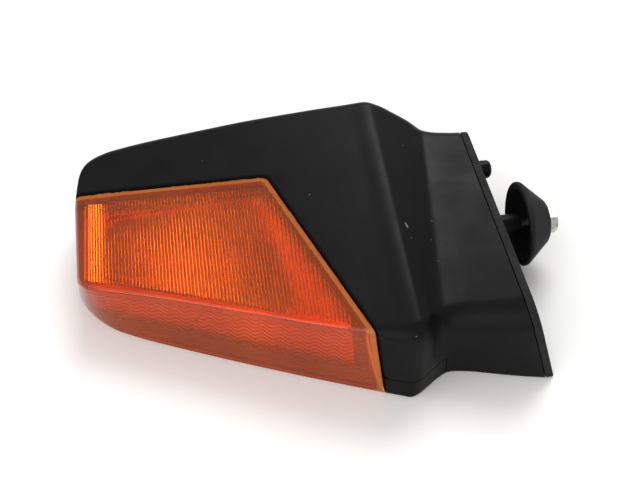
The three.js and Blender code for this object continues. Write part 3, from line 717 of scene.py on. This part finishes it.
class LAMP_OT_finishes(bpy.types.Operator):
    """Makes every material of the lamp and its stage"""

    bl_idname = "lamp.finishes"
    bl_label = "Finishes"

    def execute(self, context):
        c = context.scene.lamp_colours
        moulded_abs("moulded_black_abs", c.shell_dark, c.shell_pale, c.shell_dust)
        moulded_amber("moulded_amber_acrylic", c.amber_deep, c.amber, 0.02, 0.86)
        # The rim is thick and has no flutes behind it: it reads as a cloudier, paler band.
        moulded_amber("moulded_amber_rim", c.rim_deep, c.rim, 0.12, 0.35)
        cured_rubber("cured_epdm_rubber", c.rubber_dark, c.rubber_pale)
        # Zinc plate on steel: a pale grey shine, clouded in small patches.
        bright_metal("zinc_plated_steel", c.zinc_dark, c.zinc_pale, 0.3)
        # Plastic metallised in vacuum: an even silver mirror, softened by its lacquer.
        bright_metal("metallised_reflector", linear("#d9dadb"), linear("#f6f6f6"), 0.3, 8)
        # Rolled and nickel-plated brass: a warm, fairly sharp shine.
        bright_metal("nickel_plated_cap", linear("#a8a294"), linear("#c9c4b6"), 0.22)
        # Drawn tungsten wire: dark grey with a dull shine.
        bright_metal("drawn_tungsten", linear("#55565a"), linear("#7c7d80"), 0.4)
        # Solder set from the melt: soft grey, broad highlights.
        bright_metal("soft_solder", linear("#85878a"), linear("#a9abae"), 0.45)
        # Stamped brass strip: yellow, with a rolled shine.
        bright_metal("stamped_brass", linear("#a88336"), linear("#d2b062"), 0.3)
        # Coiled spring steel: grey wire with a bright line along it.
        bright_metal("coiled_spring_steel", linear("#6f7072"), linear("#98999b"), 0.3)
        blown_glass("blown_bulb_glass", linear("#f6fafa"))
        pressed_fibre("pressed_fibre_board", linear("#4d3320"), linear("#7a5634"))
        studio_floor("matt_studio_floor", c.floor_soft, c.floor)
        return {"FINISHED"}


class LAMP_OT_housing(bpy.types.Operator):
    """Front shell: ridge, neck and flange, with a rounded lip along the lens opening"""

    bl_idname = "lamp.housing"
    bl_label = "Housing"

    def execute(self, context):
        lip = context.scene.lamp_sizes.lip / MM
        shell = form("housing_shell", pitch=1.0, steps=14)
        front = block("front", high=(COVER_END_X, OUTSIDE, OVER))
        cut(shell, keep(form("hollow", HOUSING_WALL, OPEN_FOOT, 6), front))
        back = block("back", low=(COVER_END_X - 0.5, -OUTSIDE, UNDER))
        cut(shell, keep(form("neck", HOUSING_WALL, HOUSING_WALL, 6), back))
        cut(shell, lens_region("opening", OPENING_MARGIN))
        # The lip is rounded by four cuts, each wider and shallower than the last.
        for degrees in (10, 30, 50, 70):
            angle = math.radians(degrees)
            margin = OPENING_MARGIN + lip * (1 - math.cos(angle))
            depth = lip * (1 - math.sin(angle))
            cut(shell, cut(lens_region("lip", margin), form("under", depth, OPEN_FOOT, 6, pitch=3)))
        cut(shell, block("cover_space", high=(COVER_END_X, OUTSIDE, SEAM_Z)))
        # A web stands round the opening and carries the shelf that the lens sits on.
        web = cut(lens_region("web", 2.4), lens_region("web_inner", 0.5))
        keep(web, form("web_form", 1.8, OPEN_FOOT, pitch=3))
        shelf = cut(lens_region("shelf", 2.4), lens_region("shelf_inner", -4))
        keep(shelf, form("shelf_form", 4.4, OPEN_FOOT, pitch=3))
        join(web, shelf)
        cut(web, form("seat_space", 6, OPEN_FOOT, pitch=3))
        keep(web, block("over_seam", low=(-OUTSIDE, -OUTSIDE, SEAM_Z + GAP)))
        join(shell, web)
        dress(shell, "moulded_black_abs", "lamp", "housing")
        return {"FINISHED"}


def lens_inside(sizes):
    """The lens's hollow: upright flutes under the flat face and wavy ribs inside the near side."""
    flute_pitch, flute_depth = sizes.flute_pitch / MM, sizes.flute_depth / MM
    rib_pitch, rib_depth, wave_length = sizes.rib_pitch / MM, sizes.rib_depth / MM, sizes.wave_length / MM
    plain_border = sizes.rim_width / MM + 0.5
    first = TIP_X + LENS_WALL + 0.4
    past_corner = 18
    far_y = 44
    # Six sections to each flute, always at the same places of it, so that all flutes come out alike.
    pitch = flute_pitch / 6
    side_steps = np.linspace(0, 1, 84)
    top_steps = np.linspace(0, 1, 90)
    rings = []
    for x in np.arange(math.ceil(first / pitch), past_corner / pitch) * pitch:
        near_top, _ = section_heads(x)
        head_y = float(near_head(x)) + LENS_WALL
        foot_y = float(near_foot(x)) + LENS_WALL
        head_z = near_top - LENS_WALL
        slope = float(lean(x))
        # The hollow's end is rounded like the tip outside it.
        close = float(np.clip((x - first) / TIP_ROUNDING, 0, 1))
        shrink = TIP_ROUNDING * (1 - math.sqrt(1 - (1 - close) ** 2))
        z = side_steps * (head_z - shrink)
        wave = 0.45 * np.sin(2 * math.pi * x / wave_length)
        ribs = 0.5 - 0.5 * np.cos(2 * math.pi * (z / rib_pitch + wave))
        fade = np.clip((head_z - 1.5 - z) / 1.5, 0, 1) * np.clip((z - 1.5) / 1.0, 0, 1)
        y_side = foot_y + (head_y - foot_y) * side_steps + shrink + rib_depth * ribs * fade
        y_top = head_y + shrink + (far_y - head_y) * top_steps
        at = x + slope * 25
        flute = abs(math.sin(math.pi * x / flute_pitch))
        # How far each point stands inside the face's border: the far edge, which comes nearer as it runs inboard, the
        # slanted edge, which runs 0.364 mm outboard for each millimetre across, and the tip.
        to_far_edge = LENS_FAR_EDGE - 0.135 * (at + 84) - y_top
        to_slant = (LENS_NEAR_END[0] - 0.364 * (y_top - LENS_NEAR_END[1]) - at) * 0.94
        border = np.minimum(np.minimum(to_far_edge, to_slant), at - TIP_X - 2)
        inside = np.clip((border - plain_border) / 0.4, 0, 1) * np.clip((y_top - head_y - 1.2) / 0.6, 0, 1)
        z_top = face_height(at, y_top) - LENS_WALL - shrink - flute_depth * flute * inside
        outline = [(foot_y, OPEN_FOOT)]
        outline += list(zip(y_side, z))
        outline += list(zip(y_top[1:], z_top[1:]))
        outline += [(far_y, OPEN_FOOT)]
        rings.append([(x + slope * v, u, v) for u, v in outline])
    return skin("lens_hollow", rings)


class LAMP_OT_lens(bpy.types.Operator):
    """Amber lens: a thin panel with upright flutes and wavy side ribs, and the thick rim round it"""

    bl_idname = "lamp.lens"
    bl_label = "Lens"

    def execute(self, context):
        sizes = context.scene.lamp_sizes
        inner = LENS_MARGIN - sizes.rim_width / MM
        panel = keep(form("amber_lens", pitch=2.0, steps=10), lens_region("region", inner - 0.02))
        cut(panel, lens_inside(sizes))
        dress(panel, "moulded_amber_acrylic", "lamp", "lens", edge=40)

        band = cut(lens_region("band", LENS_MARGIN), lens_region("hole", inner))
        rim = keep(form("lens_rim", pitch=2.0, steps=10), band)
        cut(rim, form("rim_under", LENS_WALL + 5.5, OPEN_FOOT, 6, pitch=3))
        # The rim's outer edge is rounded by three cuts, each narrower and deeper than the last.
        edge = 0.8
        for degrees in (15, 40, 65):
            angle = math.radians(degrees)
            under = form("under", edge * (1 - math.sin(angle)), OPEN_FOOT, 6, pitch=3)
            layer = cut(form("skin", 0.0, pitch=3), under)
            cut(rim, cut(layer, lens_region("edge", LENS_MARGIN - edge * (1 - math.cos(angle)))))
        keep(rim, block("over_seam", low=(-OUTSIDE, -OUTSIDE, GAP)))
        dress(rim, "moulded_amber_rim", "lamp", "lens", edge=40)
        return {"FINISHED"}


class LAMP_OT_seal(bpy.types.Operator):
    """Rubber seal under the lens's border"""

    bl_idname = "lamp.seal"
    bl_label = "Lens seal"

    def execute(self, context):
        seal = cut(lens_region("lens_gasket", -0.6), lens_region("inner", -3.6))
        keep(seal, form("top", 2.6, OPEN_FOOT, pitch=3))
        cut(seal, form("underside", 4.1, OPEN_FOOT, pitch=3))
        keep(seal, block("over_seam", low=(-OUTSIDE, -OUTSIDE, SEAM_Z)))
        dress(seal, "cured_epdm_rubber", "lamp", "lens_seal")
        return {"FINISHED"}


def reflector_ring(inset, z, radius):
    """The reflector's outline from above, so far inside its rim."""
    corners = [
        (-79.5 + inset, 22.5 - inset, radius), (-79.5 + inset, -3 + inset * 0.5, radius * 0.6),
        (-8.5 - inset * 0.6, -37.5 + inset * 0.5, radius * 0.5), (-19.5 - inset * 0.5, 17 - inset, radius * 0.5),
    ]
    return [(x, y, z) for x, y in rounded(corners, 12)]


class LAMP_OT_reflector(bpy.types.Operator):
    """Metallised reflector: a dished bowl with a flange and a skirt behind the side of the lens"""

    bl_idname = "lamp.reflector"
    bl_label = "Reflector"

    def execute(self, context):
        bowls = []
        for wall in (0.0, 1.2):
            steps = [(14, 0), (11, 0.8), (9, 2.3), (7, 4.6), (5, 8), (3.4, 12), (2.2, 16), (0.8, 23), (0, 40)]
            bowls.append(skin("bowl", [reflector_ring(i + wall, 3.2 + wall + rise, 9) for i, rise in steps]))
        skirt = keep(form("metallised_reflector", 5.6, OPEN_FOOT, pitch=2), lens_region("skirt_side", -3.0))
        cut(skirt, keep(form("skirt_hollow", 6.6, OPEN_FOOT, pitch=2), lens_region("skirt_inside", -4.0)))
        keep(skirt, block("over_floor", low=(-OUTSIDE, -OUTSIDE, 3.2)))
        mouth = skin("mouth", [reflector_ring(0.6, z, 9) for z in (2, 60)])
        cut(skirt, mouth)
        bowl = cut(bowls[0], bowls[1])
        join(skirt, keep(bowl, form("lid", 5.6, OPEN_FOOT, pitch=2)))
        cut(skirt, turned("socket_hole", [(-30, 0), (-30, 9.7), (30, 9.7), (30, 0)], BULB_Y, BULB_Z))
        dress(skirt, "metallised_reflector", "lamp", "reflector", edge=40)
        return {"FINISHED"}


class LAMP_OT_gasket(bpy.types.Operator):
    """Rubber gasket on the flange, with holes round the stud tower, the peg and the lead's outlet"""

    bl_idname = "lamp.gasket"
    bl_label = "Flange gasket"

    def execute(self, context):
        layers = [(GAP, 0.35), (GAP + 0.1, 0.1), (GAP + 0.4, 0.0)]
        layers += [(GAP + GASKET_THICKNESS - d, s) for d, s in ((0.5, 0.0), (0.15, 0.12), (0.0, 0.45))]
        rings = [[(x + at, y, z) for x, y, z in ring(FLANGE_X, inset, 0.0, inset, 16)] for at, inset in layers]
        gasket = skin("flange_gasket", rings)
        for y, z, radius in ((STUD_Y, STUD_Z, TOWER_RADIUS), (PEG_Y, PEG_Z, PEG_RADIUS), (-24, 14, 4.0)):
            hole = [(40, 0), (40, radius + GAP), (90, radius + GAP), (90, 0)]
            cut(gasket, turned("hole", hole, y, z, 64))
        dress(gasket, "cured_epdm_rubber", "lamp", "mounting_gasket")
        return {"FINISHED"}


class LAMP_OT_cone(bpy.types.Operator):
    """Hollow rubber cone on the stud"""

    bl_idname = "lamp.cone"
    bl_label = "Rubber cone"

    def execute(self, context):
        x, end = CONE_START, CONE_END
        cone = turned("rubber_cone", softened([
            (x, 13.1), (x, 15), (x + 0.6, 15.5), (x + 1.6, 15.4), (x + 4.8, 12.5), (x + 8, 9.6), (x + 9.7, 8.1),
            (end - 0.4, 7.5), (end, 6.9), (end, 6), (end - 1.4, 6), (end - 1.4, 3.9), (x + 5, 3.9), (x + 5, 6),
            (x + 7.6, 6.6), (x + 1.6, 12.6),
        ], 0.5, closed=True), STUD_Y, STUD_Z, 128)
        dress(cone, "cured_epdm_rubber", "damper", "damper_cone", edge=50)
        return {"FINISHED"}


class LAMP_OT_rings(bpy.types.Operator):
    """Collar inside the rubber cone and flat washer under the bolt's head"""

    bl_idname = "lamp.rings"
    bl_label = "Collar and washer"

    def execute(self, context):
        bore = 2.8
        for name, node, start, stop, reach, softness, sides in (
            ("cone_collar", "damper_collar", CONE_START + 5, CONE_END - 1.4 - GAP, 3.6, 0.2, 64),
            ("flat_washer", "bolt_washer", CONE_END - 1.1, CONE_END - 0.1, 5.6, 0.25, 96),
        ):
            profile = [(start, bore), (start, reach), (stop, reach), (stop, bore)]
            made = turned(name, softened(profile, softness, closed=True), STUD_Y, STUD_Z, sides)
            dress(made, "zinc_plated_steel", "damper", node)
        return {"FINISHED"}


class LAMP_OT_bolt(bpy.types.Operator):
    """Hex bolt with a chamfered, dished head and an M5 thread"""

    bl_idname = "lamp.bolt"
    bl_label = "Hex bolt"

    def execute(self, context):
        # 8 mm across its flats and 3.5 mm high, standing just off the washer.
        seat, head = CONE_END + 0.2, 3.5
        corner = 4 / math.cos(math.pi / 6)
        profile = [(seat, 0), (seat, corner), (seat + head, corner), (seat + head, 0)]
        hexagon = turned("hex_bolt", profile, STUD_Y, STUD_Z, 6)
        crown = [(seat - 1, 0), (seat - 1, 5.6), (seat, 4.3), (seat + 0.25, 4.62), (seat + head - 0.55, 4.62),
                 (seat + head, 3.75), (seat + head, 2.6), (seat + head - 0.18, 2.3), (seat + head - 0.18, 0)]
        keep(hexagon, turned("crown", crown, STUD_Y, STUD_Z, 96))
        thread = [(STUD_FOOT_X - 11.5, 0), (STUD_FOOT_X - 11.5, 1.4)]
        first = STUD_FOOT_X - 11.0
        for k in range(24):
            at = first + THREAD_PITCH * k
            thread += [(at, 1.6), (at + THREAD_PITCH / 2, 1.85)]
        thread += [(seat + 1, 1.7), (seat + 1, 0)]
        join(hexagon, turned("thread", thread, STUD_Y, STUD_Z, 40))
        dress(hexagon, "zinc_plated_steel", "bolt", "mount_bolt", edge=25)
        return {"FINISHED"}


class LAMP_OT_peg(bpy.types.Operator):
    """Locating peg beside the stud, with its foot inside the flange"""

    bl_idname = "lamp.peg"
    bl_label = "Locating peg"

    def execute(self, context):
        face = FLANGE_X + FLANGE_LEAN * PEG_Z + GASKET_THICKNESS + 4.4
        back = FLANGE_X + FLANGE_LEAN * PEG_Z - 7.8
        profile = [(back, 0), (back, PEG_RADIUS + 1.6), (back + 1.2, PEG_RADIUS + 1.6), (back + 1.2, PEG_RADIUS),
                   (face - 1.0, PEG_RADIUS), (face, PEG_RADIUS - 1), (face, 0)]
        peg = turned("plug_peg", softened(profile, 0.5), PEG_Y, PEG_Z, 64)
        dress(peg, "moulded_black_abs", "lamp", "locating_peg", edge=45)
        return {"FINISHED"}


class LAMP_OT_rear_cover(bpy.types.Operator):
    """Rear cover: the tray under the shell, with screw wells and drain slots"""

    bl_idname = "lamp.rear_cover"
    bl_label = "Rear cover"

    def execute(self, context):
        tray = cut(form("back_tray", pitch=1.2, steps=10), lens_region("lens_side", GAP / 2))
        join(tray, form("behind_lens", LENS_WALL + 2 * GAP, 0.0, pitch=2))
        hollow = cut(form("tray_hollow", HOUSING_WALL, HOUSING_WALL, pitch=2), lens_region("step", 2))
        join(hollow, form("deeper", 4.8, HOUSING_WALL, pitch=2))
        cut(tray, hollow)
        keep(tray, block("tray_space", high=(COVER_END_X - GAP, OUTSIDE, SEAM_Z - GAP)))
        for x, y in HOUSING_BOSSES + LENS_BOSSES:
            cut(tray, upright("boss", 3.9, 3.9, 20, x, y))
            join(tray, upright("post", 4.0, 0.6, 3.6, x, y))
            cut(tray, upright("well", 3.2, -2, 2.5, x, y))
            cut(tray, upright("pilot", 1.7, -2, 20, x, y))
        for x, y in REFLECTOR_SCREWS:
            cut(tray, upright("pilot", 1.7, -2, 20, x, y))
        for x in (-40, -30, -20):
            cut(tray, block("drain", (x, 34, -2), (x + 5, 36, 5)))
        dress(tray, "moulded_black_abs", "lamp", "rear_cover")
        return {"FINISHED"}


class LAMP_OT_spring(bpy.types.Operator):
    """Coil spring behind the bulb's contact button"""

    bl_idname = "lamp.spring"
    bl_label = "Contact spring"

    def execute(self, context):
        wire, radius, turns = 0.5, 4.75, 3.5
        low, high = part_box("contact_spring")
        start, end = low.x / MM - SKETCH_ORIGIN[0] + wire, high.x / MM - SKETCH_ORIGIN[0] - wire
        rings = []
        for t in np.linspace(0, 1, 120):
            angle = 2 * math.pi * turns * t
            rise = start + (end - start) * float(np.clip((t - 0.12) / 0.76, 0, 1))
            ring_points = []
            for a in np.linspace(0, 2 * math.pi, 11)[:-1]:
                out = radius + wire * math.cos(a)
                ring_points.append((
                    rise + wire * math.sin(a), BULB_Y + out * math.cos(angle), BULB_Z + out * math.sin(angle),
                ))
            rings.append(ring_points)
        coil = skin("coil_spring", rings)
        dress(coil, "coiled_spring_steel", "lamp", "contact_spring", edge=60)
        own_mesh(coil)
        return {"FINISHED"}


class LAMP_OT_carried_nodes(bpy.types.Operator):
    """Gives each CAD node that stays shown its material"""

    bl_idname = "lamp.carried_nodes"
    bl_label = "Inner pieces"

    def execute(self, context):
        finishes = {
            "bulb_glass": "blown_bulb_glass", "bulb_filament": "drawn_tungsten", "bulb_cap": "nickel_plated_cap",
            "bulb_tip": "soft_solder", "bulb_holder": "zinc_plated_steel", "holder_bracket": "moulded_black_abs",
            "contact_button": "stamped_brass", "insulator_disc": "pressed_fibre_board",
            "live_terminal": "stamped_brass", "earth_terminal": "stamped_brass", "mount_plate": "moulded_black_abs",
            "threaded_insert": "stamped_brass", "lead_grommet": "cured_epdm_rubber",
        }
        for name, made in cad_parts.items():
            if "screw" in name:
                finishes[name] = "zinc_plated_steel"
            if name in finishes:
                made.data.materials.clear()
                made.data.materials.append(finish_named(finishes[name]))
        return {"FINISHED"}


class LAMP_OT_stage(bpy.types.Operator):
    """Pale floor, soft lights and the camera"""

    bl_idname = "lamp.stage"
    bl_label = "Stage"

    def execute(self, context):
        scene = context.scene
        floor = bpy.data.objects.new("floor", bpy.data.meshes.new("floor"))
        reach = 40
        corners = [(-reach, -reach, 0), (reach, -reach, 0), (reach, reach, 0), (-reach, reach, 0)]
        floor.data.from_pydata(corners, [], [(0, 1, 2, 3)])
        floor.location.z = CAD_BOX[0].z - 0.0001
        context.collection.objects.link(floor)
        floor.data.materials.append(finish_named("matt_studio_floor"))

        world = bpy.data.worlds.new("studio")
        world.use_nodes = True
        background = world.node_tree.nodes["Background"]
        background.inputs["Color"].default_value = WHITE
        background.inputs["Strength"].default_value = 0.68
        scene.world = world
        # Name, where it shines from, spread in degrees, power and colour: a cool window, a broad warm skylight and a
        # white fill.
        lights = [
            ("window", (0.25, 0.58, 0.78), 32, 1.35, (0.98, 0.99, 1.0)),
            ("skylight", (-0.75, -0.3, 0.6), 70, 0.9, (1.0, 0.99, 0.98)),
            ("fill", (-0.35, -0.9, 0.3), 60, 1.1, (1.0, 1.0, 1.0)),
        ]
        for name, place, spread, power, colour in lights:
            lamp = bpy.data.objects.new(name, bpy.data.lights.new(name, "SUN"))
            lamp.data.angle = math.radians(spread)
            lamp.data.energy = power
            lamp.data.color = colour
            lamp.location = place
            lamp.rotation_euler = (-Vector(place)).to_track_quat("-Z", "Y").to_euler()
            context.collection.objects.link(lamp)

        camera = bpy.data.objects.new("camera", bpy.data.cameras.new("camera"))
        # A long lens, a little to the left of straight ahead and half way up.
        camera.data.sensor_width = 36.0
        camera.data.lens = 56.25
        camera.data.clip_start = 0.01
        camera.location = metres([(-36.9, -247.2, 272.0)])[0]
        azimuth, elevation = math.radians(-8.5), math.radians(45)
        look = Vector((
            -math.sin(azimuth) * math.cos(elevation), math.cos(azimuth) * math.cos(elevation), -math.sin(elevation),
        ))
        camera.rotation_euler = look.to_track_quat("-Z", "Y").to_euler()
        context.collection.objects.link(camera)
        scene.camera = camera
        scene.view_settings.view_transform = "Standard"
        scene.view_settings.gamma = 0.9
        return {"FINISHED"}


class LAMP_PT_panel(bpy.types.Panel):
    """Lists the lamp's pieces in the order in which they are made"""

    bl_idname = "LAMP_PT_panel"
    bl_label = "Turn Signal Lamp"
    bl_space_type = "VIEW_3D"
    bl_region_type = "UI"
    bl_category = "Turn Signal"

    def draw(self, context):
        layout = self.layout
        for group in (context.scene.lamp_sizes, context.scene.lamp_colours):
            for name in group.__annotations__:
                layout.prop(group, name)
        for step in STEPS:
            layout.operator(step.bl_idname)


STEPS = (
    LAMP_OT_finishes,
    LAMP_OT_housing,
    LAMP_OT_rear_cover,
    LAMP_OT_reflector,
    LAMP_OT_lens,
    LAMP_OT_seal,
    LAMP_OT_gasket,
    LAMP_OT_cone,
    LAMP_OT_rings,
    LAMP_OT_bolt,
    LAMP_OT_peg,
    LAMP_OT_spring,
    LAMP_OT_carried_nodes,
    LAMP_OT_stage,
)
CLASSES = (LampSizes, LampColours, *STEPS, LAMP_PT_panel)


def register():
    """Registers the lamp's classes and hangs its properties on the scene."""
    for one in CLASSES:
        bpy.utils.register_class(one)
    bpy.types.Scene.lamp_sizes = bpy.props.PointerProperty(type=LampSizes)
    bpy.types.Scene.lamp_colours = bpy.props.PointerProperty(type=LampColours)


def unregister():
    """Takes away what register added."""
    del bpy.types.Scene.lamp_colours
    del bpy.types.Scene.lamp_sizes
    for one in reversed(CLASSES):
        bpy.utils.unregister_class(one)


def main():
    """Registers the add-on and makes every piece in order."""
    register()
    for step in STEPS:
        group, name = step.bl_idname.split(".")
        getattr(getattr(bpy.ops, group), name)()


if __name__ == "__main__":
    main()
